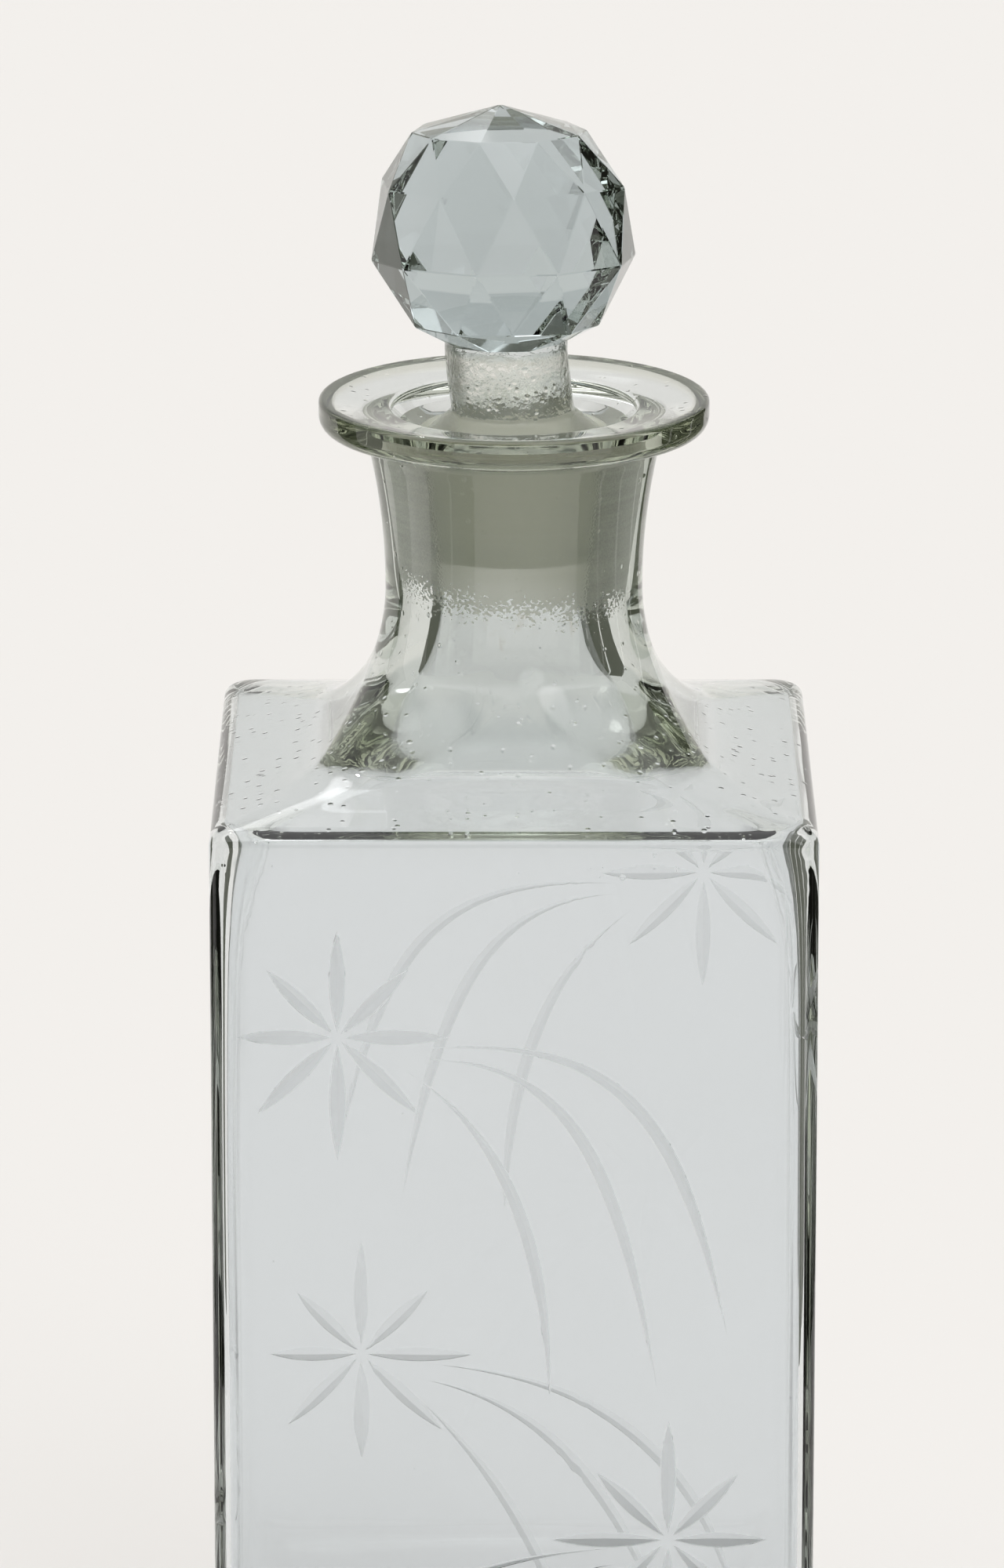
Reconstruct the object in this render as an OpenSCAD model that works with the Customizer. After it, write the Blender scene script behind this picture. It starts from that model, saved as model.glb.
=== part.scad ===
// Square-sided glass decanter with a flared lip and a faceted ball stopper.
// Millimetres, +Z up, origin at the centre of the underside.

/* [Body] */
// Width of the square body across its flats
body_w = 85; // [80:1:90]
// Height of the shoulder edge above the table
shoulder_h = 168; // [150:1:185]
// Radius of the upright outer edges
corner_r = 3; // [2:0.5:5]
// Radius of the edges between a side and the shoulder or the base
shoulder_r = 2.4; // [1.5:0.1:3]
// Thickness of the side walls
wall_t = 3.2; // [2.5:0.1:4.5]
// Thickness of the base
base_t = 9; // [6:0.5:12]
// Thickness of the shoulder
shoulder_t = 4; // [3:0.5:5]
// Rise of the shoulder for each millimetre in from the side
shoulder_rise = 0.24; // [0.15:0.01:0.3]

/* [Neck and lip] */
// Height of the lip above the shoulder edge
neck_h = 53.4; // [50:0.2:58]
// Radius of the neck at its waist
neck_r = 18.3; // [17.5:0.1:19.5]
// Height of the waist above the shoulder edge
waist_h = 26; // [24:0.5:28]
// Radius of the flare that runs out from the waist to the shoulder
flare_r = 30; // [28:1:32]
// Radius of the gentle curve from the waist up to the lip
collar_r = 90; // [80:5:120]
// Radius of the lip
lip_r = 27.7; // [27:0.1:29]
// Thickness of the lip
lip_t = 4.8; // [4:0.2:5.6]
// Radius of the rounded edge under the lip
lip_edge_r = 2.3; // [1.5:0.1:2.6]
// Radius of the mouth at the top of the bore
mouth_r = 17.4; // [16:0.1:18]
// How far the mouth lies below the rim
dish = 1.4; // [0.5:0.1:2]

/* [Ground joint] */
// Radius of the ground bore where it starts under the mouth
bore_top_r = 12.3; // [11.5:0.1:13]
// Radius of the ground bore at its lower end
bore_low_r = 10.4; // [9.5:0.1:11]
// Depth below the rim at which the ground bore starts
joint_top = 4.8; // [4.4:0.1:5.4]
// Depth below the rim at which the ground bore ends
joint_end = 28.4; // [26:0.2:30]
// Length of the ground plug
plug_len = 17; // [14:0.5:20]
// Radial clearance between plug and bore
fit_gap = 0.05; // [0.04:0.01:0.1]

/* [Stopper] */
// Radius of the faceted knob at its girdle
knob_r = 18.9; // [17:0.1:20]
// Height of the knob's girdle above the rim
girdle_h = 19.4; // [18:0.2:24]
// Facets around the knob
knob_sides = 10; // [8:1:12]
// Turn of the knob's facets about its axis, in degrees
knob_turn = 6; // [0:1:36]
// Radius of the stem between plug and knob
stem_r = 8.7; // [8:0.1:9.5]

/* [Cut decoration] */
// Radius of the cutting wheel that makes the star rays
wheel_r = 60; // [50:5:80]
// Half angle of the wheel's edge
wheel_a = 62; // [55:1:66]
// Length of a star's ray
ray_len = 15; // [12:0.5:16]
// Rays in a star
rays = 8; // [6:1:10]
// Greatest depth of a curved spray cut
spray_d = 0.4; // [0.3:0.05:0.6]

/* [Hidden] */
$fn = 96;
over = 1;
glass = [0.80, 0.86, 0.85, 0.45];
rim_z = shoulder_h + neck_h;
bore_slope = (bore_top_r - bore_low_r) / (joint_end - joint_top);
flare_z = shoulder_h + waist_h;
flare_x = neck_r + flare_r;
inner_flare_r = flare_x - bore_low_r;
ceiling_z = shoulder_h - shoulder_t;
eave = 0.5;
joint_top_z = rim_z - joint_top;
joint_end_z = rim_z - joint_end;
plug_end_z = joint_top_z - plug_len;
girdle_z = rim_z + girdle_h;
sink = 1.5;
wheel_rim = 2.4;

// Star centres on a face, across from its middle line and up from the shoulder edge
UPPER_STAR = [-25, -29];
LOWER_STAR = [22, -104];
// Spray cuts: [centre across, centre up, radius, first angle, last angle], from their star's centre
UPPER_SPRAY = [[17, -37, 37, 108, -12], [3, -43, 41, 82, -14], [-25, -47, 54, 51, -8]];
LOWER_SPRAY = [[13, -45, 45, 102, 0], [1, -50, 47, 81, 2], [-47, -72, 87, 50, 18]];

// Points on an arc about [cx, cz], from angle a0 to angle a1
function arc(cx, cz, r, a0, a1, steps) =
    [for (i = [0:steps]) let (a = a0 + (a1 - a0) * i / steps) [cx + r * cos(a), cz + r * sin(a)]];

// Radius of the bore, and of the plug in it, at a height in the ground joint
function joint_r(z) = bore_top_r - (joint_top_z - z) * bore_slope;

// Square with round corners, made of two bars and four discs
module round_square(w, r) {
    inner = w / 2 - r;
    square([w, 2 * inner], center = true);
    square([2 * inner, w], center = true);
    for (x = [-inner, inner], y = [-inner, inner]) translate([x, y]) circle(r);
}

// Side view of the body: round edges, and a shoulder that rises from both sides to the middle
module side_view(w, h, r, rise) {
    a = atan(rise);
    x = w / 2 - r;
    brow_z = h + eave + rise * r * (1 - sin(a)) - r * cos(a);
    brow = [x + r * sin(a), brow_z + r * cos(a)];
    translate([-w / 2, r]) square([w, brow_z - r]);
    translate([-x, 0]) square([2 * x, brow_z]);
    for (side = [-x, x], z = [r, brow_z]) translate([side, z]) circle(r);
    polygon([[-x, brow_z], [x, brow_z], brow, [0, brow[1] + rise * brow[0]], [-brow[0], brow[1]]]);
}

// Square block with round edges and a four-sided shoulder
module rounded_block(w, h, side_r, top_r, rise) {
    intersection() {
        linear_extrude(h + w / 2) round_square(w, side_r);
        for_both_ways(w) side_view(w, h, top_r, rise);
    }
}

// The hollow below the neck, with a ceiling that follows the shoulder
module cavity() {
    w = body_w - 2 * wall_t;
    side_z = shoulder_h + eave + shoulder_rise * wall_t - shoulder_t;
    intersection() {
        linear_extrude(shoulder_h + w / 2) round_square(w, corner_r);
        for_both_ways(w)
            polygon([[-w / 2, base_t], [w / 2, base_t], [w / 2, side_z],
                [0, side_z + shoulder_rise * w / 2], [-w / 2, side_z]]);
    }
}

// Overlap of one outline run through the block along X and along Y
module for_both_ways(w) {
    intersection() {
        translate([0, w / 2 + over, 0]) rotate([90, 0, 0]) linear_extrude(w + 2 * over) children();
        translate([-w / 2 - over, 0, 0]) rotate([90, 0, 90]) linear_extrude(w + 2 * over) children();
    }
}

// Turned outside of the neck: foot of the flare, waist, collar and lip
module neck_outside() {
    foot_a = asin((waist_h + sink) / flare_r);
    under_z = rim_z - lip_t;
    collar_rise = under_z - lip_edge_r - flare_z;
    collar_a = asin(collar_rise / collar_r);
    outline = concat(
        [[0, shoulder_h - sink]],
        arc(flare_x, flare_z, flare_r, 180 + foot_a, 180, 14),
        arc(neck_r + collar_r, flare_z, collar_r, 180, 180 - collar_a, 5),
        [[neck_r + collar_r * (1 - cos(collar_a)) + lip_edge_r, under_z]],
        arc(lip_r - lip_edge_r, under_z + lip_edge_r, lip_edge_r, -90, 0, 5),
        [[lip_r, rim_z - 0.7], [lip_r - 0.7, rim_z], [0, rim_z]]);
    rotate_extrude() polygon(outline);
}

// Everything hollow above the ceiling: dished mouth, funnel, ground bore and inner flare
module neck_inside() {
    ceiling_a = asin((flare_z - (ceiling_z - sink)) / inner_flare_r);
    outline = concat(
        [[0, ceiling_z - sink]],
        arc(flare_x, flare_z, inner_flare_r, 180 + ceiling_a, 180 + 3, 12),
        [[bore_low_r, joint_end_z], [bore_top_r, joint_top_z]],
        arc(bore_top_r, rim_z - dish, mouth_r - bore_top_r, -90 + 35, 0, 4),
        [[lip_r - 1, rim_z + 0.01], [lip_r - 1, rim_z + over], [0, rim_z + over]]);
    rotate_extrude() polygon(outline);
}

// One straight cut, from the origin along +X in the face, made by a wheel standing on edge
module ray_cut(length) {
    depth = length * length / (8 * wheel_r);
    half_w = wheel_rim * tan(wheel_a);
    translate([length / 2, 0, wheel_r - depth]) rotate([90, 0, 0]) rotate_extrude() polygon([
        [0, -half_w], [wheel_r - wheel_rim, -half_w], [wheel_r, 0], [wheel_r - wheel_rim, half_w], [0, half_w]]);
}

// One curved cut, pointed at both ends: a V-edged ring tilted into the face
module spray_cut(cx, cy, r, a0, a1) {
    half_span = abs(a1 - a0) / 2;
    dip = spray_d / (1 - cos(half_span));
    half_w = wheel_rim * tan(wheel_a);
    translate([cx, cy, dip * cos(half_span)]) rotate([0, 0, (a0 + a1) / 2]) rotate([0, asin(dip / r), 0])
        rotate_extrude() polygon([[r, 0], [r + half_w, wheel_rim], [r - half_w, wheel_rim]]);
}

// A star of rays with its spray of curved cuts
module star_and_spray(spray) {
    for (i = [0:rays - 1]) rotate([0, 0, i * 360 / rays]) translate([0.4, 0, 0]) ray_cut(ray_len);
    for (s = spray) spray_cut(s[0], s[1], s[2], s[3], s[4]);
}

// The cutters for all four faces
module decoration() {
    for (side = [0:3])
        rotate([0, 0, 90 * side]) translate([0, -body_w / 2, shoulder_h]) rotate([90, 0, 0]) {
            translate(UPPER_STAR) star_and_spray(UPPER_SPRAY);
            translate(LOWER_STAR) mirror([1, 0, 0]) star_and_spray(LOWER_SPRAY);
        }
}

module decanter_body() {
    color(glass) difference() {
        union() {
            rounded_block(body_w, shoulder_h, corner_r, shoulder_r, shoulder_rise);
            neck_outside();
        }
        cavity();
        neck_inside();
        decoration();
    }
}

// Heights and radii of the knob's facet rings from its girdle, as shares of its radius
KNOB_RINGS = [[-0.65, 0.47], [-0.48, 0.72], [0, 1], [0.57, 0.93], [0.96, 0.69]];
KNOB_TOP = 1.15;

// Faceted ball: staggered rings joined by triangles, closed by a point on top
module knob() {
    n = knob_sides;
    rings = len(KNOB_RINGS);
    points = concat(
        [[0, 0, KNOB_RINGS[0][0] * knob_r]],
        [for (k = [0:rings - 1], i = [0:n - 1])
            let (a = knob_turn + (i + (k % 2) / 2) * 360 / n, r = KNOB_RINGS[k][1] * knob_r)
            [r * cos(a), r * sin(a), KNOB_RINGS[k][0] * knob_r]],
        [[0, 0, KNOB_TOP * knob_r]]);
    top = len(points) - 1;
    function at(k, i) = 1 + k * n + (i + n) % n;
    faces = concat(
        [for (i = [0:n - 1]) [0, at(0, i), at(0, i + 1)]],
        [for (k = [0:rings - 2], i = [0:n - 1])
            [at(k, i), k % 2 == 0 ? at(k + 1, i) : at(k + 1, i + 1), at(k, i + 1)]],
        [for (k = [0:rings - 2], i = [0:n - 1])
            k % 2 == 0 ? [at(k + 1, i), at(k, i), at(k + 1, i - 1)]
                       : [at(k + 1, i), at(k, i), at(k + 1, i + 1)]],
        [for (i = [0:n - 1]) [at(rings - 1, i), top, at(rings - 1, i + 1)]]);
    translate([0, 0, girdle_z]) polyhedron(points, faces);
}

module stopper() {
    plug_top_r = joint_r(joint_top_z) - fit_gap;
    plug_low_r = joint_r(plug_end_z) - fit_gap;
    chamfer = 0.8;
    collar_top = joint_top_z + (plug_top_r - stem_r) * 0.75;
    stem_end_z = girdle_z - 0.5 * knob_r;
    color(glass) union() {
        knob();
        rotate_extrude() polygon([
            [0, plug_end_z],
            [plug_low_r - chamfer, plug_end_z],
            [plug_low_r, plug_end_z + chamfer],
            [plug_top_r, joint_top_z],
            [stem_r, collar_top],
            [stem_r, stem_end_z],
            [0, stem_end_z]]);
    }
}

decanter_body();
stopper();
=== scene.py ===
"""Looks of a cut glass decanter: a square bottle with a ground neck and cut faces, and a ball stopper."""

import logging
import math
import random
from dataclasses import dataclass, field
from enum import Enum
from typing import Sequence

import bmesh
import bpy
import numpy as np
from mathutils import Matrix, Vector, noise


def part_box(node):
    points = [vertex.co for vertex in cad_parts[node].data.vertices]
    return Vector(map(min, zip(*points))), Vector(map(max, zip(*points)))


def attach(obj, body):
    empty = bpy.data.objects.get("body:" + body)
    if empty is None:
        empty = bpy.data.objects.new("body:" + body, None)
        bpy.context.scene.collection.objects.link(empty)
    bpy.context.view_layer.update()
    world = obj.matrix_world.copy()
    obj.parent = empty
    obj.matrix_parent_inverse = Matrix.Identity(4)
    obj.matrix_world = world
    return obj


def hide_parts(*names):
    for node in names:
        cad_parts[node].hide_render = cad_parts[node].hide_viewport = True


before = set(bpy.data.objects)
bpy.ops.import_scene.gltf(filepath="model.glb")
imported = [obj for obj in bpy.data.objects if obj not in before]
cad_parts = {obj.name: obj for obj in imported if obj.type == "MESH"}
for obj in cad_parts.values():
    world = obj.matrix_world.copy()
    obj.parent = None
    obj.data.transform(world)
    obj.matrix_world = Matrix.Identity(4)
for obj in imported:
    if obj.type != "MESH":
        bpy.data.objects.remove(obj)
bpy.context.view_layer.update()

MM = 0.001
log = logging.getLogger("decanter")

Triple = tuple[float, float, float]
Colour = Triple
Point = tuple[float, float]


# ---------------------------------------------------------------- shader sheet


class Shade:
    """A number that varies over a surface. Ordinary arithmetic on it adds Math nodes."""

    def __init__(self, sheet: "Sheet", socket: bpy.types.NodeSocket) -> None:
        """Wraps a node's output.

        Args:
            sheet: the node sheet that the output is on.
            socket: the output itself.
        """
        self.sheet = sheet
        self.socket = socket

    def _math(self, operation: str, *values: "Shade | float") -> "Shade":
        """Adds one Math node.

        Args:
            operation: the Math node's operation.
            values: its inputs, in order.

        Returns:
            The node's result.
        """
        made = self.sheet.node("ShaderNodeMath", {"operation": operation}, dict(enumerate(values)))
        return Shade(self.sheet, made.outputs[0])

    def __add__(self, other: "Shade | float") -> "Shade":
        """Sum."""
        return self._math("ADD", self, other)

    def __radd__(self, other: float) -> "Shade":
        """Sum, with the number first."""
        return self._math("ADD", other, self)

    def __sub__(self, other: "Shade | float") -> "Shade":
        """Difference."""
        return self._math("SUBTRACT", self, other)

    def __rsub__(self, other: float) -> "Shade":
        """Difference, with the number first."""
        return self._math("SUBTRACT", other, self)

    def __mul__(self, other: "Shade | float") -> "Shade":
        """Product."""
        return self._math("MULTIPLY", self, other)

    def __rmul__(self, other: float) -> "Shade":
        """Product, with the number first."""
        return self._math("MULTIPLY", other, self)

    def __abs__(self) -> "Shade":
        """Size without sign."""
        return self._math("ABSOLUTE", self)

    def root(self) -> "Shade":
        """Square root."""
        return self._math("SQRT", self)

    def larger(self, other: "Shade | float") -> "Shade":
        """The larger of two."""
        return self._math("MAXIMUM", self, other)

    def smaller(self, other: "Shade | float") -> "Shade":
        """The smaller of two."""
        return self._math("MINIMUM", self, other)

    def ramp(self, low: float, high: float) -> "Shade":
        """Rises smoothly from 0 at low to 1 at high, or falls where low is the larger.

        Args:
            low: value that gives 0.
            high: value that gives 1.

        Returns:
            The smooth step.
        """
        made = self.sheet.node(
            "ShaderNodeMapRange",
            {"interpolation_type": "SMOOTHSTEP", "clamp": True},
            {"Value": self, "From Min": low, "From Max": high},
        )
        return Shade(self.sheet, made.outputs["Result"])


class Sheet:
    """The nodes of one material or of the world."""

    def __init__(self, tree: bpy.types.NodeTree) -> None:
        """Clears the tree.

        Args:
            tree: the node tree to draw on.
        """
        self.tree = tree
        tree.nodes.clear()

    def node(self, kind: str, settings: dict | None = None, sockets: dict | None = None) -> bpy.types.Node:
        """Adds any node.

        Args:
            kind: the node's type name.
            settings: its properties, set first.
            sockets: values or links of its inputs, by name or number.

        Returns:
            The node.
        """
        made = self.tree.nodes.new(kind)
        for name, value in (settings or {}).items():
            setattr(made, name, value)
        for name, value in (sockets or {}).items():
            target = made.inputs[name]
            if isinstance(value, Shade):
                self.tree.links.new(value.socket, target)
            elif isinstance(value, bpy.types.NodeSocket):
                self.tree.links.new(value, target)
            elif isinstance(value, tuple) and len(value) == 3 and target.type == "RGBA":
                target.default_value = (*value, 1.0)
            else:
                target.default_value = value
        return made

    def place(self, stretch: Triple = (1, 1, 1)) -> bpy.types.NodeSocket:
        """Position on the piece at rest.

        Args:
            stretch: how many times each axis is stretched.

        Returns:
            The stretched position, in metres.
        """
        spot = self.node("ShaderNodeTexCoord").outputs["Object"]
        made = self.node("ShaderNodeMapping", None, {"Vector": spot, "Scale": stretch})
        return made.outputs["Vector"]

    def axes(self) -> tuple[Shade, Shade, Shade]:
        """Position on the piece at rest, split up.

        Returns:
            Its distances along the three axes, in metres.
        """
        made = self.node("ShaderNodeSeparateXYZ", None, {0: self.place()})
        x, y, z = (Shade(self, made.outputs[name]) for name in "XYZ")
        return x, y, z

    def grain(self, size: float, detail: float = 2.0, stretch: Triple = (1, 1, 1)) -> Shade:
        """Cloudy variation from 0 to 1.

        Args:
            size: width of one cloud, in metres.
            detail: how many finer layers lie on it.
            stretch: how many times finer it is along each axis.

        Returns:
            The variation.
        """
        sockets = {"Vector": self.place(stretch), "Scale": 1 / size, "Detail": detail}
        return Shade(self, self.node("ShaderNodeTexNoise", None, sockets).outputs["Fac"])

    def pits(self, spacing: float, size: float, share: float) -> Shade:
        """Small round marks, scattered at random.

        Args:
            spacing: mean distance between possible marks, in metres.
            size: radius of a mark, as a share of the spacing.
            share: how many of the possible marks are there.

        Returns:
            1 in the middle of a mark, 0 outside.
        """
        made = self.node("ShaderNodeTexVoronoi", None, {"Vector": self.place(), "Scale": 1 / spacing})
        lot = self.node("ShaderNodeSeparateColor", None, {0: made.outputs["Color"]}).outputs[0]
        mark = Shade(self, made.outputs["Distance"]).ramp(size, 0)
        return mark * Shade(self, lot).ramp(share + 0.01, share)

    def mix(self, share: Shade | float, first: Colour | bpy.types.NodeSocket,
            second: Colour | bpy.types.NodeSocket) -> bpy.types.NodeSocket:
        """Mixes two colours.

        Args:
            share: how much of the second colour shows, from 0 to 1.
            first: colour at share 0.
            second: colour at share 1.

        Returns:
            The mixed colour.
        """
        made = self.node("ShaderNodeMix", {"data_type": "RGBA"}, {0: share, 6: first, 7: second})
        return made.outputs[2]

    def bump(self, relief: Shade, depth: float) -> bpy.types.NodeSocket:
        """Bends the surface normal by a relief.

        Args:
            relief: height of the relief, from 0 to 1.
            depth: height of its full range, in metres.

        Returns:
            The bent normal.
        """
        made = self.node("ShaderNodeBump", None, {"Height": relief, "Distance": depth, "Strength": 1.0})
        return made.outputs["Normal"]


# -------------------------------------------------------------------- finishes


@dataclass(frozen=True)
class Glass:
    """What both glasses share: tint, loss of light with thickness, seeds, and how ground places look."""

    name: str
    tint: Colour
    ground_tint: Colour
    loss: Colour
    ground_roughness: Point
    frost: Colour = (0.93, 0.94, 0.8)
    seed_tint: Colour = (0.16, 0.16, 0.13)
    index: float = 1.5
    relief_depth: float = 0.06 * MM

    def start(self) -> tuple[bpy.types.Material, Sheet, bpy.types.NodeSocket]:
        """Starts a material with the tint of clear glass.

        Returns:
            The material, its sheet, and the tint with faint clouds and a few dark seeds.
        """
        made = bpy.data.materials.new(self.name)
        made.use_nodes = True
        sheet = Sheet(made.node_tree)
        cloudy = tuple(min(1.0, c * 1.03) for c in self.tint)
        tint = sheet.mix(sheet.grain(45 * MM, 1.0), self.tint, cloudy)
        seed = sheet.pits(9 * MM, 0.025, 0.5)
        return made, sheet, sheet.mix(seed * 0.7, tint, self.seed_tint)

    def grind(self, sheet: Sheet, ground: Shade) -> tuple[bpy.types.NodeSocket, Shade, Shade, Shade]:
        """Tint, roughness, fine grain and level lathe lines of the ground places.

        Args:
            sheet: the material's sheet.
            ground: where the glass is ground, from 0 to 1.

        Returns:
            The four of them, in that order.
        """
        grain = sheet.grain(0.28 * MM)
        lathe = sheet.grain(0.9 * MM, 2.0, (0.05, 0.05, 1.0))
        tint = sheet.mix(lathe, self.ground_tint, tuple(c * 0.9 for c in self.ground_tint))
        least, span = self.ground_roughness
        return tint, ground * (grain * span + least), grain, lathe

    def finish(self, sheet: Sheet, colour: bpy.types.NodeSocket, roughness: Shade, relief: Shade,
               frost: Shade) -> None:
        """Wires a see-through shader, with ground places that scatter, and the loss of light inside.

        Args:
            sheet: the material's sheet.
            colour: tint of the light that passes the surface.
            roughness: how far the surface scatters it.
            relief: height of the surface's fine shape.
            frost: share of the light that the surface stops and scatters back.
        """
        sockets = {
            "Base Color": colour,
            "Roughness": roughness,
            "IOR": self.index,
            "Transmission Weight": 1.0,
            "Normal": sheet.bump(relief, self.relief_depth),
        }
        clear = sheet.node("ShaderNodeBsdfPrincipled", None, sockets)
        matte = sheet.node("ShaderNodeBsdfPrincipled", None, {"Base Color": self.frost, "Roughness": 0.7})
        parts = {0: frost, 1: clear.outputs[0], 2: matte.outputs[0]}
        skin = sheet.node("ShaderNodeMixShader", None, parts)
        density = 20.0
        kept = tuple(1 - c / density for c in self.loss)
        inside = sheet.node("ShaderNodeVolumeAbsorption", None, {"Color": kept, "Density": density})
        ends = {"Surface": skin.outputs[0], "Volume": inside.outputs[0]}
        sheet.node("ShaderNodeOutputMaterial", None, ends)


@dataclass(frozen=True)
class BottleGlass(Glass):
    """The bottle's glass: polished outside, ground in the bore, matte where the wheel has cut it, with
    painted shade on the lip's outer edge.
    """

    name: str = "body_glass"
    tint: Colour = (0.85, 0.875, 0.898)
    ground_tint: Colour = (0.85, 0.85, 0.75)
    loss: Colour = (7.8, 6.8, 9.4)
    ground_roughness: Point = (0.4, 0.25)
    upper_tint: Colour = (0.825, 0.85, 0.865)
    # painted shade: dark olive put on the lip's outer edge in place of the dark room seen through the rim
    rim_painted_shade: Colour = (0.66, 0.67, 0.585)
    stain_tint: Colour = (0.55, 0.42, 0.24)
    face: float = 42.5 * MM
    bore: float = 12.3 * MM
    ground_from: float = 193.4 * MM
    ground_to: float = 216.7 * MM
    shoulder: float = 166 * MM
    lip_reach: Point = (25 * MM, 27 * MM)
    lip_height: Point = (214 * MM, 216 * MM)

    def ground_zone(self, sheet: Sheet, height: Shade, across: Shade, inner: Shade) -> Shade:
        """Where the bore is ground, with a ragged, speckled lower end that hangs lower on one side.

        Args:
            sheet: the material's sheet.
            height: height on the bottle.
            across: distance to the right of the axis.
            inner: 1 inside the neck, 0 outside.

        Returns:
            1 where it is ground, 0 elsewhere.
        """
        ragged = height + (sheet.grain(5 * MM, 3.0) - 0.5) * (6 * MM) + across * 0.09
        speckle = (sheet.grain(0.45 * MM) - 0.5) * (14 * MM)
        lower = (ragged + speckle).ramp(self.ground_from - 0.5 * MM, self.ground_from + 0.5 * MM)
        return lower * inner * height.ramp(self.ground_to + 0.2 * MM, self.ground_to)

    def cut_zone(self, x: Shade, y: Shade, z: Shade) -> Shade:
        """Where the surface lies just under a flat face: in the wheel's grooves.

        Args:
            x: distance to the right of the axis.
            y: distance behind the axis.
            z: height on the bottle.

        Returns:
            1 in a groove, 0 elsewhere.
        """
        far, near = abs(x).larger(abs(y)), abs(x).smaller(abs(y))
        sunk = far.ramp(self.face - 0.035 * MM, self.face - 0.075 * MM)
        sunk = sunk * far.ramp(self.face - 0.9 * MM, self.face - 0.7 * MM)
        sunk = sunk * near.ramp(self.face - 2.9 * MM, self.face - 3.2 * MM)
        return sunk * z.ramp(self.shoulder, self.shoulder - 0.5 * MM)

    def stain_zone(self, sheet: Sheet, height: Shade, inner: Shade) -> Shade:
        """Brown specks left by drink just under the ground part.

        Args:
            sheet: the material's sheet.
            height: height on the bottle.
            inner: 1 inside the neck, 0 outside.

        Returns:
            1 on a speck, 0 elsewhere.
        """
        specks = sheet.grain(2.5 * MM, 5.0, (1, 1, 0.6)).ramp(0.58, 0.7) * inner
        specks = specks * height.ramp(self.ground_from + 1 * MM, self.ground_from - 1 * MM)
        return specks * height.ramp(self.ground_from - 10 * MM, self.ground_from - 5 * MM)

    def streaks(self, sheet: Sheet, x: Shade, y: Shade) -> Shade:
        """Two wandering upright cords in the front wall.

        Args:
            sheet: the material's sheet.
            x: distance to the right of the axis.
            y: distance behind the axis.

        Returns:
            1 in the middle of a cord, 0 elsewhere.
        """
        wander = (sheet.grain(30 * MM, 3.0) - 0.5) * (14 * MM)
        left = abs(x + wander + 22.5 * MM).ramp(1.6 * MM, 0)
        right = abs(x - wander - 9 * MM).ramp(1.3 * MM, 0)
        return (left + right) * y.ramp(0, -1 * MM)

    def material(self) -> bpy.types.Material:
        """Makes the bottle's glass.

        Returns:
            The material, with its zones set by place.
        """
        made, sheet, tint = self.start()
        x, y, z = sheet.axes()
        reach = (x * x + y * y).root()
        inner = reach.ramp(self.bore + 1.2 * MM, self.bore + 0.9 * MM)
        ground, cut = self.ground_zone(sheet, z, x, inner), self.cut_zone(x, y, z)
        ground_tint, roughness, grain, lathe = self.grind(sheet, ground)
        tint = sheet.mix(z.ramp(self.shoulder - 3 * MM, self.shoulder + 4 * MM), tint, self.upper_tint)
        # Painted shade: the lip's outer edge is tinted dark olive, standing in for the dark surroundings
        # seen through the rim.
        edge = reach.ramp(*self.lip_reach) * z.ramp(*self.lip_height)
        tint = sheet.mix(edge, tint, self.rim_painted_shade)
        colour = sheet.mix(ground, tint, ground_tint)
        colour = sheet.mix(cut, colour, tuple(c * 0.97 for c in self.tint))
        colour = sheet.mix(self.stain_zone(sheet, z, inner) * 0.5, colour, self.stain_tint)
        glints = sheet.pits(2.4 * MM, 0.2, 0.45) * z.ramp(self.shoulder - 5 * MM, self.shoulder + 2 * MM)
        relief = glints * 1.5 + (ground + cut) * grain * 0.25 + self.streaks(sheet, x, y) * 0.12
        frost = ground * (lathe * 0.2 + grain * 0.3 + 0.12)
        self.finish(sheet, colour, roughness + cut * 0.4, relief, frost)
        return made


@dataclass(frozen=True)
class StopperGlass(Glass):
    """The stopper's glass: polished facets, a hammered stem and a ground plug."""

    name: str = "stopper_glass"
    tint: Colour = (0.63, 0.69, 0.735)
    ground_tint: Colour = (0.97, 0.97, 0.93)
    loss: Colour = (6.0, 5.4, 6.4)
    ground_roughness: Point = (0.12, 0.2)
    stem_tint: Colour = (0.94, 0.94, 0.92)
    rim: float = 221.4 * MM

    def material(self) -> bpy.types.Material:
        """Makes the stopper's glass.

        Returns:
            The material, with its zones set by height.
        """
        made, sheet, tint = self.start()
        z = sheet.axes()[2]
        ground = z.ramp(self.rim - 1.4 * MM, self.rim - 2.4 * MM)
        stem = z.ramp(self.rim - 2.4 * MM, self.rim - 1.0 * MM)
        stem = stem * z.ramp(self.rim + 8 * MM, self.rim + 6.5 * MM)
        ground_tint, roughness, grain, _ = self.grind(sheet, ground)
        colour = sheet.mix(stem, sheet.mix(ground, tint, ground_tint), self.stem_tint)
        hammer = sheet.grain(1.1 * MM, 3.0, (1, 1, 0.8)) + sheet.pits(1.3 * MM, 0.4, 0.5) * 0.5
        relief = ground * grain * 0.25 + stem * hammer * 6.0
        self.finish(sheet, colour, roughness, relief, ground * 0.2)
        return made


# -------------------------------------------------------------------- outlines


def arc(cx: float, cz: float, radius: float, start: float, end: float, steps: int) -> list[Point]:
    """Points on an arc.

    Args:
        cx: centre, outwards.
        cz: centre, upwards.
        radius: radius of the arc.
        start: first angle, in degrees from the outward direction.
        end: last angle.
        steps: stretches between the points.

    Returns:
        The points, first and last included.
    """
    turns = [math.radians(start + (end - start) * i / steps) for i in range(steps + 1)]
    return [(cx + radius * math.cos(t), cz + radius * math.sin(t)) for t in turns]


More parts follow.
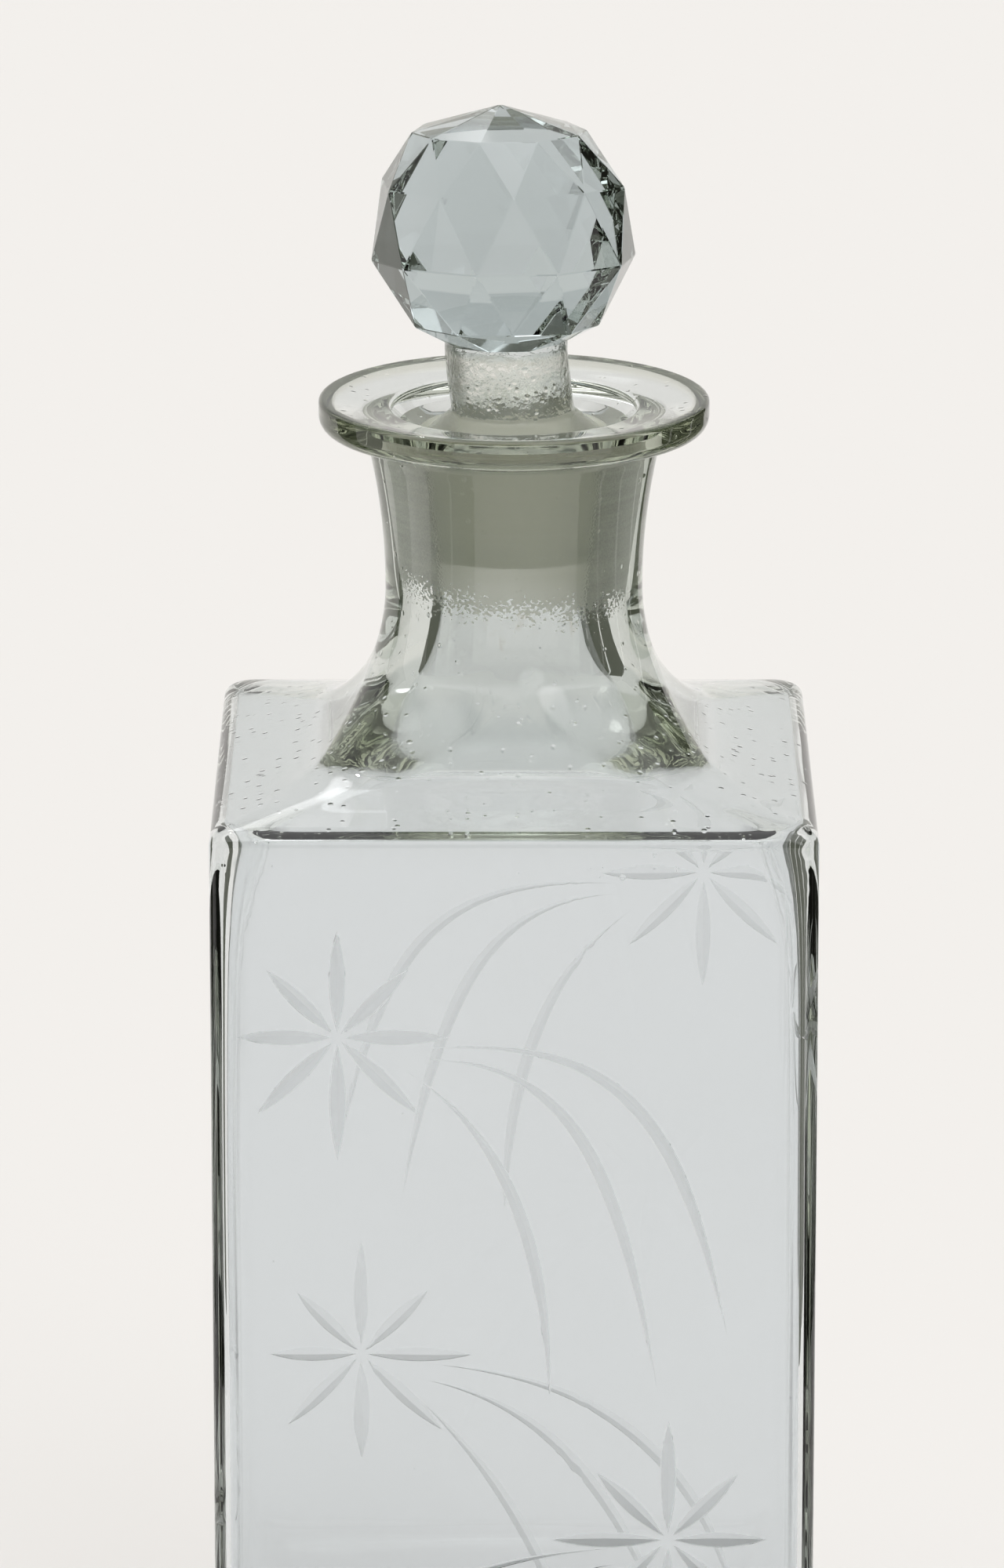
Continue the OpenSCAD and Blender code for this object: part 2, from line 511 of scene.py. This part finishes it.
def line(start: Point, end: Point, steps: int) -> list[Point]:
    """Evenly spaced points on a straight line.

    Args:
        start: first end.
        end: last end.
        steps: stretches between the points.

    Returns:
        The points, the first end left out.
    """
    return [
        (start[0] + (end[0] - start[0]) * i / steps, start[1] + (end[1] - start[1]) * i / steps)
        for i in range(1, steps + 1)
    ]


def curve(controls: Sequence[Point], steps: int) -> np.ndarray:
    """Points on a cubic curve.

    Args:
        controls: its four control points.
        steps: stretches between the points.

    Returns:
        Array of (steps + 1) points.
    """
    t = np.linspace(0, 1, steps + 1)[:, None]
    a, b, c, d = (np.array(p) for p in controls)
    return a * (1 - t) ** 3 + 3 * b * t * (1 - t) ** 2 + 3 * c * t**2 * (1 - t) + d * t**3


def square_reach(turn: np.ndarray, half: float, corner: float) -> np.ndarray:
    """Distance from the centre of a round-cornered square to its edge.

    Args:
        turn: directions, in radians.
        half: half the square's width.
        corner: radius of its corners.

    Returns:
        The distance in each direction.
    """
    c, s = np.abs(np.cos(turn)), np.abs(np.sin(turn))
    flat = half / np.maximum(c, s)
    inner = half - corner
    along = inner * (c + s)
    room = np.maximum(along**2 - 2 * inner**2 + corner**2, 0)
    return np.where(flat * np.minimum(c, s) > inner, along + np.sqrt(room), flat)


def column_turns(half: float, corner: float, flat_steps: int, corner_steps: int) -> np.ndarray:
    """Directions of the upright lines of a square shell, close together round its corners.

    Args:
        half: half the square's width.
        corner: radius of its corners.
        flat_steps: stretches along one flat side.
        corner_steps: stretches round one corner.

    Returns:
        Directions in radians, once round.
    """
    inner = half - corner
    turns: list[float] = []
    for side in range(4):
        flat = np.linspace(-inner, inner, flat_steps + 1)
        turns += [side * math.pi / 2 + math.atan2(y, half) for y in flat]
        for i in range(1, corner_steps):
            a = i / corner_steps * math.pi / 2
            y, x = inner + corner * math.sin(a), inner + corner * math.cos(a)
            turns.append(side * math.pi / 2 + math.atan2(y, x))
    return np.array(turns)


# -------------------------------------------------------------------- meshwork


def make_piece(name: str, mesh: bpy.types.Mesh) -> bpy.types.Object:
    """Puts a mesh in the scene as a piece.

    Args:
        name: name of the piece.
        mesh: its mesh.

    Returns:
        The piece.
    """
    made = bpy.data.objects.new(name, mesh)
    bpy.context.scene.collection.objects.link(made)
    return made


def shell_mesh(name: str, rings: Sequence[np.ndarray]) -> bpy.types.Mesh:
    """Closed skin over rings of points, shut by a fan at both ends.

    Args:
        name: name of the mesh.
        rings: rings of equally many points, each once round.

    Returns:
        The mesh.
    """
    count = len(rings[0])
    verts = np.vstack([*rings, rings[0].mean(axis=0)[None], rings[-1].mean(axis=0)[None]])
    low, high, top = len(verts) - 2, len(verts) - 1, (len(rings) - 1) * count
    faces: list[tuple[int, ...]] = []
    for k in range(count):
        after = (k + 1) % count
        faces += [(low, after, k), (top + k, top + after, high)]
        faces += [(r + k, r + after, r + after + count, r + k + count) for r in range(0, top, count)]
    made = bpy.data.meshes.new(name)
    made.from_pydata(verts.tolist(), [], faces)
    made.polygons.foreach_set("use_smooth", [True] * len(faces))
    made.update()
    return made


def apply_modifiers(piece: bpy.types.Object) -> None:
    """Turns a piece's modifiers into its mesh.

    Args:
        piece: the piece.
    """
    shaped = piece.evaluated_get(bpy.context.evaluated_depsgraph_get())
    old = piece.data
    piece.data = bpy.data.meshes.new_from_object(shaped)
    piece.modifiers.clear()
    bpy.data.meshes.remove(old)


class Work(Enum):
    """What is done to a piece with other solids."""

    CUT = "DIFFERENCE"
    JOIN = "UNION"


def work_with(piece: bpy.types.Object, tools: Sequence[bpy.types.Object], work: Work) -> None:
    """Takes solids out of a piece, or joins them to it, and clears them away.

    Args:
        piece: the piece that is worked on.
        tools: closed solids.
        work: whether to cut or to join.
    """
    rack = bpy.data.collections.new("tools")
    for tool in tools:
        bpy.context.scene.collection.objects.unlink(tool)
        rack.objects.link(tool)
    step = piece.modifiers.new("work", "BOOLEAN")
    step.operation = work.value
    step.operand_type = "COLLECTION"
    step.collection = rack
    step.solver = "MANIFOLD"
    apply_modifiers(piece)
    for tool in tools:
        mesh = tool.data
        bpy.data.objects.remove(tool)
        bpy.data.meshes.remove(mesh)
    bpy.data.collections.remove(rack)


# -------------------------------------------------------------- cut decoration


class Side(Enum):
    """The four faces of the bottle, by how far each is turned from the front."""

    FRONT = 0
    RIGHT = 90
    BACK = 180
    LEFT = 270

    @property
    def strays(self) -> tuple[Point, Point]:
        """How far the hand-set sprays are from their places on this face.

        Returns:
            The upper spray's and the lower spray's moves, across and up, in millimetres.
        """
        return {
            0: ((0.3, 0.5), (0.3, 0.5)),
            90: ((-0.8, -0.4), (0.7, -0.9)),
            180: ((-3.2, 0.2), (1.2, -0.6)),
            270: ((0.9, 0.3), (-1.1, 0.6)),
        }[self.value]


@dataclass(frozen=True)
class Wheel:
    """A stone wheel with a V edge, which leaves a matte V groove."""

    edge_angle: float = 66.0
    clearance: float = 0.6 * MM

    def groove(self, path: np.ndarray, depth: np.ndarray, name: str) -> bpy.types.Object:
        """The solid that the wheel takes away as it runs along a path on a face.

        Args:
            path: points on the face, across and up.
            depth: depth of the groove at each point, below 0 where the wheel is clear of the glass.
            name: name of the solid.

        Returns:
            The solid, with the face as its XY plane and the glass below it.
        """
        along = np.gradient(path, axis=0)
        along /= np.linalg.norm(along, axis=1)[:, None]
        across = np.stack([-along[:, 1], along[:, 0]], axis=1)
        top = self.clearance
        width = ((depth + top) * math.tan(math.radians(self.edge_angle)))[:, None]
        left = np.column_stack([path + across * width, np.full(len(path), top)])
        right = np.column_stack([path - across * width, np.full(len(path), top)])
        edge = np.column_stack([path, -depth])
        verts = np.stack([left, edge, right], axis=1).reshape(-1, 3)
        faces: list[tuple[int, ...]] = [(0, 1, 2)]
        for i in range(len(path) - 1):
            a, b = 3 * i, 3 * (i + 1)
            for j in range(3):
                k = (j + 1) % 3
                faces.append((a + j, b + j, b + k, a + k))
        last = 3 * (len(path) - 1)
        faces.append((last + 2, last + 1, last))
        mesh = bpy.data.meshes.new(name)
        mesh.from_pydata(verts.tolist(), [], faces)
        return make_piece(name, mesh)


@dataclass(frozen=True)
class Spray:
    """A star of straight cuts with three curved cuts that sweep away from it."""

    star: Point
    ray_lengths: tuple[float, ...]
    sweeps: tuple[tuple[Point, Point, Point, Point], ...]
    ray_depth: float = 0.52 * MM
    sweep_depth: float = 0.44 * MM

    def grooves(self, wheel: Wheel) -> list[bpy.types.Object]:
        """All the cuts of this spray, on the face's own plane.

        Args:
            wheel: the wheel that makes them.

        Returns:
            The solids to take away.
        """
        made = []
        centre = np.array(self.star) * MM
        for i, length in enumerate(self.ray_lengths):
            turn = math.tau * i / len(self.ray_lengths)
            heading = np.array([math.cos(turn), math.sin(turn)])
            t = np.linspace(-0.04, 1.04, 25)
            path = centre + heading * ((0.05 + 0.95 * t) * length * MM)[:, None]
            depth = self.ray_depth * (1 - (2 * t - 1) ** 2)
            made.append(wheel.groove(path, depth, "ray"))
        for controls in self.sweeps:
            path = curve(controls, 48) * MM
            t = np.linspace(0, 1, len(path))
            depth = self.sweep_depth * (np.sin(math.pi * t**1.4) ** 0.9 * 1.06 - 0.06)
            made.append(wheel.groove(path, depth, "sweep"))
        return made


UPPER_SPRAY = Spray(
    star=(-25, -29),
    ray_lengths=(15.5, 14, 15.5, 14, 14, 16, 18, 16),
    sweeps=(
        ((-19, -31.3), (14, -27), (22.5, -38), (30, -74.5)),
        ((-16, -32.3), (6, -31), (14, -44), (20, -82)),
        ((-17, -33), (-3, -41), (4.5, -57), (4.8, -84)),
    ),
)
LOWER_SPRAY = Spray(
    star=(21.5, -103.5),
    ray_lengths=(14, 14, 18, 14.5, 16.5, 17, 17, 16),
    sweeps=(
        ((18, -104.6), (-12, -105.5), (-29, -116), (-36, -148)),
        ((16, -107), (-1, -108.5), (-17, -120), (-25, -150)),
        ((15, -108.5), (5, -118), (-5, -131), (-12, -154)),
    ),
)


# ---------------------------------------------------------------------- bottle


@dataclass
class Bottle:
    """The square bottle: base, walls, shoulder, neck and lip in one glass. Sizes in millimetres."""

    node: str = "decanter_body"
    width: float = 85.0
    rim: float = 221.4
    shoulder: float = 168.0
    corner: float = 3.0
    edge: float = 2.6
    wall: float = 2.0
    inner_fillet: float = 1.0
    inner_corner: float = 7.0
    foot_corner: float = 1.6
    base: float = 9.0
    waist: Point = (18.3, 26.0)
    flare: float = 30.0
    leave: float = 42.0
    slope: float = 0.24
    collar: float = 90.0
    bore_top: Point = (12.3, 48.6)
    bore_end: Point = (10.4, 25.0)
    plate: float = 2.0
    lip: float = 27.7
    turns: np.ndarray = field(init=False)

    def __post_init__(self) -> None:
        """Takes the outer sizes from the frame and lays out the upright lines."""
        low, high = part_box(self.node)
        self.width = (high.x - low.x) / MM
        self.rim = high.z / MM
        self.turns = column_turns(self.width / 2, self.corner, 44, 10)

    def ring(self, reach: np.ndarray | float, height: np.ndarray | float) -> np.ndarray:
        """One ring of points.

        Args:
            reach: distance from the axis in each direction.
            height: height above the shoulder edge, in each direction.

        Returns:
            The points, in metres.
        """
        out = np.empty((len(self.turns), 3))
        out[:, 0] = reach * np.cos(self.turns)
        out[:, 1] = reach * np.sin(self.turns)
        out[:, 2] = np.asarray(height) + self.shoulder
        return out * MM

    def square(self, inset: float, height: float, corner: float | None = None) -> np.ndarray:
        """A square ring.

        Args:
            inset: distance inside the bottle's outer faces.
            height: height above the shoulder edge.
            corner: radius of its corners; by default they follow the bottle's own.

        Returns:
            The points, in metres.
        """
        if corner is None:
            corner = max(self.corner - inset, 0.4)
        return self.ring(square_reach(self.turns, self.width / 2 - inset, corner), height)

    def outer_body(self) -> list[np.ndarray]:
        """Underside, bottom edge, sides and shoulder edge.

        Returns:
            The rings, from the middle of the underside out and up.
        """
        half, e, floor = self.width / 2, self.edge, -self.shoulder
        rings = []
        for share in (0.1, 0.3, 0.5, 0.7, 0.84, 0.88, 0.92, 0.96):
            lift = 0.7 * (1 - min(max((share - 0.84) / 0.08, 0), 1))
            rings.append(self.ring(square_reach(self.turns, (half - e) * share, 3 * share), floor + lift))
        rings += [self.square(half - x, floor + z) for x, z in arc(half - e, e, e, -90, 0, 7)]
        lean = 90 - math.degrees(math.atan(self.slope))
        brow = arc(half - e, 0, e, 0, lean, 8)
        drop = self.roof(brow[-1][0]) - brow[-1][1]
        for z in np.linspace(floor + e, drop, 80)[1:-1]:
            rings.append(self.square(0, z))
        rings += [self.square(half - x, z + drop, self.corner) for x, z in brow]
        return rings

    def roof(self, half: float) -> float:
        """Height of the sloping shoulder.

        Args:
            half: half the width of the shoulder's level line.

        Returns:
            Height above the shoulder edge.
        """
        x0 = self.waist[0] + self.flare * (1 - math.cos(math.radians(self.leave)))
        z0 = self.waist[1] - self.flare * math.sin(math.radians(self.leave))
        line_z = 0.5 + self.slope * (self.width / 2 - half)
        extra = z0 - 0.5 - self.slope * (self.width / 2 - x0)
        fade = extra / (1 / math.tan(math.radians(self.leave)) - self.slope)
        return line_z + extra * math.exp(-(half - x0) / fade)

    @staticmethod
    def rounding(half: float, start: float, end: float, corner: float) -> float:
        """Corner radius of a level line, which is a circle near the neck and a square near the edge.

        Args:
            half: half the level line's width.
            start: half width up to which it is a circle.
            end: half width of the square.
            corner: radius of the square's corners.

        Returns:
            The radius.
        """
        left = 1 - min(max((half - start) / (end - start), 0), 1)
        return corner + (half - corner) * left**3

    def neck_outside(self) -> list[np.ndarray]:
        """Sloping shoulder, flare, waist, collar and lip.

        Returns:
            The rings, from the shoulder edge up to the rim.
        """
        wx, wz = self.waist
        flare = arc(wx + self.flare, wz, self.flare, 180 + self.leave, 180, 20)
        under = 48.2
        fillet = 2.0
        rise = math.degrees(math.asin((under - fillet - wz) / self.collar))
        collar = arc(wx + self.collar, wz, self.collar, 180, 180 - rise, 14)[1:]
        foot_x, foot_z = collar[-1]
        edge_r, top = 2.3, self.rim - self.shoulder
        outline = collar
        outline += arc(foot_x + fillet, foot_z, fillet, 180, 100, 7)[1:]
        outline += arc(self.lip - edge_r, under + 0.5 + edge_r, edge_r, -80, 0, 9)
        outline += line(outline[-1], (self.lip, top - 0.7), 3)
        outline += arc(self.lip - 0.7, top - 0.7, 0.7, 0, 90, 6)[1:]
        half = self.width / 2
        rings = []
        slope = [(x, self.roof(x)) for x in np.linspace(half - self.edge * 0.9, flare[0][0], 20)[1:-1]]
        for x, z in slope + flare:
            corner = self.rounding(x, wx + 1.5, half, self.corner)
            rings.append(self.ring(square_reach(self.turns, x, corner), z))
        return rings + [self.ring(x, z) for x, z in outline]

    def mouth(self) -> list[np.ndarray]:
        """Dished top of the lip, rounded mouth and funnel.

        Returns:
            The rings, from the rim down to the ground bore.
        """
        top = self.rim - self.shoulder
        outline = line((self.lip - 0.7, top), (18.3, top - 1.25), 8)
        outline += arc(18.2, top - 2.15, 0.9, 90, 180, 6)[1:]
        outline += line((17.3, top - 2.2), (16.2, top - 3.6), 3)
        outline += line((16.2, top - 3.6), (13.4, top - 4.6), 3)
        outline += line((13.4, top - 4.6), self.bore_top, 2)
        return [self.ring(x, z) for x, z in outline]

    def ground_bore(self) -> list[np.ndarray]:
        """Ground bore, from under the mouth to its lower end."""
        return [self.ring(x, z) for x, z in line(self.bore_top, self.bore_end, 24)]

    def ceiling(self) -> list[Point]:
        """Outline of the inside of the shoulder.

        Returns:
            The points, from the bore's lower end out to the inner fillet.
        """
        bx, bz = self.bore_end
        end = self.width / 2 - self.wall - self.inner_fillet
        meet = 33.0
        leave = (meet, self.roof(meet) - 1.1 * self.plate)
        pitch = self.roof(meet - 0.5) - self.roof(meet + 0.5)
        flare = curve(((bx, bz), (bx, bz - 13), (leave[0] - 14, leave[1] + 14 * pitch), leave), 34)[1:]
        outline = [tuple(p) for p in flare]
        for x in np.linspace(meet, end, 9)[1:]:
            thick = (1.1 - 0.1 * (x - meet) / (end - meet)) * self.plate
            outline.append((x, self.roof(x) - thick))
        return outline

    def inside(self) -> list[np.ndarray]:
        """Inner flare, ceiling, walls and floor.

        Returns:
            The rings, from the bore's lower end down to the middle of the floor.
        """
        half, fillet = self.width / 2 - self.wall, self.inner_fillet
        wide, tight = self.inner_corner, self.foot_corner
        outline = self.ceiling()
        rings = []
        for x, z in outline:
            corner = self.rounding(x, self.bore_end[0] + 3, half, wide)
            rings.append(self.ring(square_reach(self.turns, x, corner), z))
        spring = outline[-1][1] - fillet
        for x, z in arc(half - fillet, spring, fillet, 76, 0, 8):
            rings.append(self.ring(square_reach(self.turns, x, wide), z))
        floor, foot = self.base - self.shoulder, 5.0
        for z in np.linspace(spring, floor + foot, 76)[1:-1]:
            corner = tight + (wide - tight) * math.exp((z - spring) / 7)
            rings.append(self.ring(square_reach(self.turns, half, corner), z))
        for x, z in arc(half - foot, floor + foot, foot, 0, -90, 8):
            rings.append(self.ring(square_reach(self.turns, x, tight), z))
        for share in (0.92, 0.8, 0.65, 0.5, 0.35, 0.2, 0.08):
            reach = square_reach(self.turns, (half - foot) * share, tight * share)
            rings.append(self.ring(reach, floor + 1.2 * (1 - share)))
        return rings

    def shell(self) -> bpy.types.Object:
        """Makes the uncut bottle.

        Returns:
            The uncut bottle.
        """
        outer = self.outer_body() + self.neck_outside()
        inside = self.inside()
        for rings, size, reach in ((outer, 0.02, 26.0), (inside, 0.12, 22.0)):
            for ring in rings:
                self.ripple(ring, size, reach)
        mesh = shell_mesh("decanter_bottle", outer + self.mouth() + self.ground_bore() + inside)
        return make_piece("decanter_bottle", mesh)

    @staticmethod
    def ripple(ring: np.ndarray, size: float, reach: float) -> None:
        """Moves a ring's points in and out by the slow waves of hand-made glass.

        Args:
            ring: the points, changed in place.
            size: greatest move, in millimetres.
            reach: length of a wave, in millimetres.
        """
        for point in ring:
            x, y, z = point / (reach * MM)
            wave = noise.noise(Vector((x, y, z * 0.45)))
            flat = math.hypot(point[0], point[1])
            if flat > 0:
                point[:2] *= 1 + size * MM * wave / flat

    def decorate(self, piece: bpy.types.Object) -> None:
        """Cuts both sprays into all four faces.

        Args:
            piece: the uncut bottle.
        """
        wheel = Wheel()
        tools = []
        for side in Side:
            turned = Matrix.Rotation(math.radians(side.value), 4, "Z")
            for spray, (across, up) in zip((UPPER_SPRAY, LOWER_SPRAY), side.strays):
                place = Matrix.Translation((across * MM, -self.width / 2 * MM, (self.shoulder + up) * MM))
                face = turned @ place @ Matrix.Rotation(math.radians(90), 4, "X")
                for groove in spray.grooves(wheel):
                    groove.data.transform(face)
                    tools.append(groove)
        work_with(piece, tools, Work.CUT)

    def build(self) -> bpy.types.Object:
        """Makes, dresses and cuts the bottle.

        Returns:
            The finished piece.
        """
        piece = self.shell()
        piece.data.materials.append(BottleGlass().material())
        self.decorate(piece)
        piece.data.set_sharp_from_angle(angle=math.radians(18))
        return piece


# --------------------------------------------------------------------- stopper


@dataclass
class BallStopper:
    """The stopper: faceted ball, stem and ground plug in one piece of glass. Sizes in millimetres."""

    bottle_rim: float = 221.4
    girdle: float = 18.9
    girdle_height: float = 19.4
    sides: int = 10
    turn: float = 6.0
    stem: float = 8.7
    plug_top: Point = (12.25, -4.8)
    plug_end: Point = (10.88, -21.8)
    rings: tuple[Point, ...] = ((-0.63, 0.46), (-0.48, 0.72), (0.0, 1.0), (0.57, 0.93), (0.96, 0.66))
    crown: float = 1.155
    unevenness: float = 0.014
    drift: float = 0.03
    lean: float = -4.0
    offset: Triple = (-1.4, 0.4, 0.55)
    stem_drift: float = -1.1
    dent_depth: float = 0.1

    def corners(self, builder: bmesh.types.BMesh) -> list[list[bmesh.types.BMVert]]:
        """Adds the rings of facet corners, each turned half a step from the last and a little uneven.

        Args:
            builder: the mesh that they go in.

        Returns:
            The rings, from the lowest up.
        """
        chance = random.Random(11)
        rows = []
        for k, (height, reach) in enumerate(self.rings):
            row = []
            for i in range(self.sides):
                turn = math.radians(self.turn + (i + (k % 2) / 2) * 360 / self.sides)
                aside = self.drift * max(height, 0)
                spot = Vector((reach * math.cos(turn) - aside, reach * math.sin(turn), height))
                slip = Vector(chance.uniform(-self.unevenness, self.unevenness) for _ in range(3))
                row.append(builder.verts.new((spot + slip) * self.girdle * MM))
            rows.append(row)
        return rows

    def knob(self) -> bpy.types.Object:
        """Faceted ball with slightly worn edges, leaning a little.

        Returns:
            The ball.
        """
        builder = bmesh.new()
        rows = self.corners(builder)
        n = self.sides
        builder.faces.new(rows[0][::-1])
        for k, (low, high) in enumerate(zip(rows, rows[1:])):
            for i in range(n):
                ahead = (i + 1) % n
                if k % 2 == 0:
                    builder.faces.new((low[i], low[ahead], high[i]))
                    builder.faces.new((high[i], low[ahead], high[ahead]))
                else:
                    builder.faces.new((low[i], low[ahead], high[ahead]))
                    builder.faces.new((high[i], low[i], high[ahead]))
        top = builder.verts.new((-self.drift * self.girdle * MM, 0, self.crown * self.girdle * MM))
        for i in range(n):
            builder.faces.new((rows[-1][i], rows[-1][(i + 1) % n], top))
        bmesh.ops.bevel(builder, geom=list(builder.edges), offset=0.12 * MM, segments=1, affect="EDGES")
        mesh = bpy.data.meshes.new("knob")
        builder.to_mesh(mesh)
        builder.free()
        x, y, z = self.offset
        seat = Matrix.Translation((x * MM, y * MM, (self.bottle_rim + self.girdle_height + z) * MM))
        mesh.transform(seat @ Matrix.Rotation(math.radians(self.lean), 4, "X"))
        return make_piece("knob", mesh)

    def shank(self) -> bpy.types.Object:
        """Ground plug and hammered stem, which drifts a little to one side on its way up.

        Returns:
            The plug and stem, with the stem's end hidden in the ball.
        """
        turns = np.linspace(0, math.tau, 160, endpoint=False)
        (top_x, top_z), (end_x, end_z) = self.plug_top, self.plug_end
        chamfer, hidden_top = 0.8, self.girdle_height - 9.0
        plug: list[Point] = [(2.0, end_z), (end_x - chamfer - 2, end_z), (end_x - chamfer, end_z)]
        plug += arc(end_x - chamfer, end_z + chamfer, chamfer, -90, 0, 5)[1:]
        plug += line(plug[-1], (top_x, top_z), 22)
        neck = line((top_x, top_z), (self.stem + 0.9, top_z + 2.2), 6)
        neck += arc(self.stem + 1.2, top_z + 3.6, 1.2, 230, 180, 5)[1:]
        neck += line(neck[-1], (self.stem, hidden_top), 26)
        neck += [(self.stem - 3, hidden_top), (2.0, hidden_top)]
        rings = []
        for x, z in plug + neck:
            rise = min(max((z - top_z) / 12, 0), 1)
            aside = self.stem_drift * rise * rise * (3 - 2 * rise)
            height = np.full(len(turns), z + self.bottle_rim)
            rings.append(np.column_stack([x * np.cos(turns) + aside, x * np.sin(turns), height]) * MM)
        for ring in rings[len(plug) + 4:-2]:
            for point in ring:
                wide_dent = noise.noise(Vector(point / (2.2 * MM)))
                small_dent = noise.noise(Vector(point / (0.9 * MM)))
                point[:2] *= 1 + self.dent_depth * (wide_dent + 0.5 * small_dent) / self.stem
        return make_piece("shank", shell_mesh("shank", rings))

    def build(self) -> bpy.types.Object:
        """Makes and dresses the stopper.

        Returns:
            The finished piece.
        """
        piece = self.shank()
        piece.data.materials.append(StopperGlass().material())
        work_with(piece, [self.knob()], Work.JOIN)
        piece.name = "ball_stopper"
        piece.data.set_sharp_from_angle(angle=math.radians(6))
        return piece


# ---------------------------------------------------------------------- studio


@dataclass(frozen=True)
class Lamp:
    """A soft round lamp far away. Start and full are cosines of the angle from its middle."""

    towards: Triple
    start: float
    full: float
    light: Colour


@dataclass
class Studio:
    """Pale floor, soft light, dark side cards and the camera."""

    horizon: Colour = (0.913, 0.888, 0.847)
    floor_colour: Colour = (0.775, 0.753, 0.737)
    wall: Colour = (0.74, 0.74, 0.71)
    dusk: Colour = (0.12, 0.125, 0.10)
    dark: Colour = (0.1, 0.105, 0.08)
    soft_box: Colour = (2.0, 2.0, 2.0)
    lamps: tuple[Lamp, ...] = (
        Lamp((0.3, -0.64, 0.7), 0.96, 0.985, (2.6, 2.6, 2.6)),
        Lamp((-0.1, 0.77, 0.63), 0.993, 0.998, (2.8, 2.8, 2.8)),
    )
    key_towards: Triple = (-0.2, 0.62, 0.76)
    key_power: float = 0.12
    key_width: float = 2.0
    card_turns: tuple[float, ...] = (0, 22.5, 45, 157.5, 202.5, 225, 337.5)
    card_distance: float = 0.3
    card_half_width: float = 0.055
    card_height: float = 0.36
    eye: Triple = (-0.0017, -1.3478, 0.5432)
    tilt: float = 15.7
    lens: float = 224.46

    def floor(self) -> None:
        """Plain pale floor."""
        builder = bmesh.new()
        bmesh.ops.create_grid(builder, x_segments=8, y_segments=8, size=30)
        mesh = bpy.data.meshes.new("floor")
        builder.to_mesh(mesh)
        builder.free()
        made = bpy.data.materials.new("pale_floor")
        made.use_nodes = True
        sheet = Sheet(made.node_tree)
        shader = sheet.node("ShaderNodeBsdfDiffuse", None, {"Color": self.floor_colour})
        sheet.node("ShaderNodeOutputMaterial", None, {"Surface": shader.outputs[0]})
        mesh.materials.append(made)
        make_piece("floor", mesh)

    def sky(self) -> None:
        """Soft light by direction: pale wall behind, dim room in front, a soft box overhead, two lamps."""
        world = bpy.data.worlds.new("studio")
        bpy.context.scene.world = world
        world.use_nodes = True
        sheet = Sheet(world.node_tree)
        way = sheet.node("ShaderNodeTexCoord").outputs["Generated"]
        parts = sheet.node("ShaderNodeSeparateXYZ", None, {0: way})
        back, up = Shade(sheet, parts.outputs["Y"]), Shade(sheet, parts.outputs["Z"])
        room = sheet.mix(back.ramp(-0.65, 0.2), self.dusk, self.wall)
        band = sheet.mix(up.ramp(0.13, 0.24), self.horizon, room)
        light = sheet.mix(up.ramp(0.74, 0.86), band, self.soft_box)
        for lamp in self.lamps:
            sockets = {0: way, 1: lamp.towards}
            cosine = sheet.node("ShaderNodeVectorMath", {"operation": "DOT_PRODUCT"}, sockets)
            inside = Shade(sheet, cosine.outputs["Value"]).ramp(lamp.start, lamp.full)
            light = sheet.mix(inside, light, lamp.light)
        glow = sheet.node("ShaderNodeBackground", None, {"Color": light, "Strength": 1.0})
        sheet.node("ShaderNodeOutputWorld", None, {"Surface": glow.outputs[0]})

    def sun(self) -> None:
        """Small bright key that makes the glints."""
        lamp = bpy.data.lights.new("key", "SUN")
        lamp.energy = self.key_power
        lamp.angle = math.radians(self.key_width)
        made = bpy.data.objects.new("key", lamp)
        bpy.context.scene.collection.objects.link(made)
        made.rotation_euler = Vector(self.key_towards).to_track_quat("Z", "Y").to_euler()

    def cards(self) -> None:
        """Dark upright cards round the table, unseen themselves, that draw the edges of clear glass."""
        made = bpy.data.materials.new("dark_card")
        made.use_nodes = True
        sheet = Sheet(made.node_tree)
        glow = sheet.node("ShaderNodeEmission", None, {"Color": self.dark, "Strength": 1.0})
        sheet.node("ShaderNodeOutputMaterial", None, {"Surface": glow.outputs[0]})
        away, half, low, high = self.card_distance, self.card_half_width, 2 * MM, self.card_height
        corners = [(away, -half, low), (away, half, low), (away, half, high), (away, -half, high)]
        for i, turn in enumerate(self.card_turns):
            mesh = bpy.data.meshes.new("card")
            mesh.from_pydata(corners, [], [(0, 1, 2, 3)])
            mesh.materials.append(made)
            piece = make_piece(f"card_{i + 1}", mesh)
            piece.rotation_euler.z = math.radians(turn)
            piece.visible_camera = piece.visible_diffuse = piece.visible_shadow = False

    def camera(self) -> None:
        """Long lens, looking a little down."""
        data = bpy.data.cameras.new("camera")
        data.lens = self.lens
        data.clip_end = 60
        made = bpy.data.objects.new("camera", data)
        made.location = self.eye
        made.rotation_euler = (math.radians(90 - self.tilt), 0, 0)
        bpy.context.scene.collection.objects.link(made)
        bpy.context.scene.camera = made

    def build(self) -> None:
        """Sets up the studio and how light is followed through glass."""
        self.camera()
        self.floor()
        self.cards()
        self.sky()
        self.sun()
        scene = bpy.context.scene
        scene.view_settings.view_transform = "Standard"
        scene.cycles.max_bounces = 24
        scene.cycles.transmission_bounces = 24
        scene.cycles.glossy_bounces = 12
        scene.cycles.sample_clamp_indirect = 4.0


def main() -> None:
    """Builds the decanter, piece by piece, and the studio around it."""
    logging.basicConfig(level=logging.INFO, format="%(name)s: %(message)s")
    Studio().build()
    bottle = Bottle()
    body = bottle.build()
    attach(body, "bottle")
    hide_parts("decanter_body")
    log.info("bottle: %d faces", len(body.data.polygons))
    stopper = BallStopper(bottle_rim=bottle.rim).build()
    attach(stopper, "closure")
    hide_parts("stopper")
    log.info("stopper: %d faces", len(stopper.data.polygons))


if __name__ == "__main__":
    main()
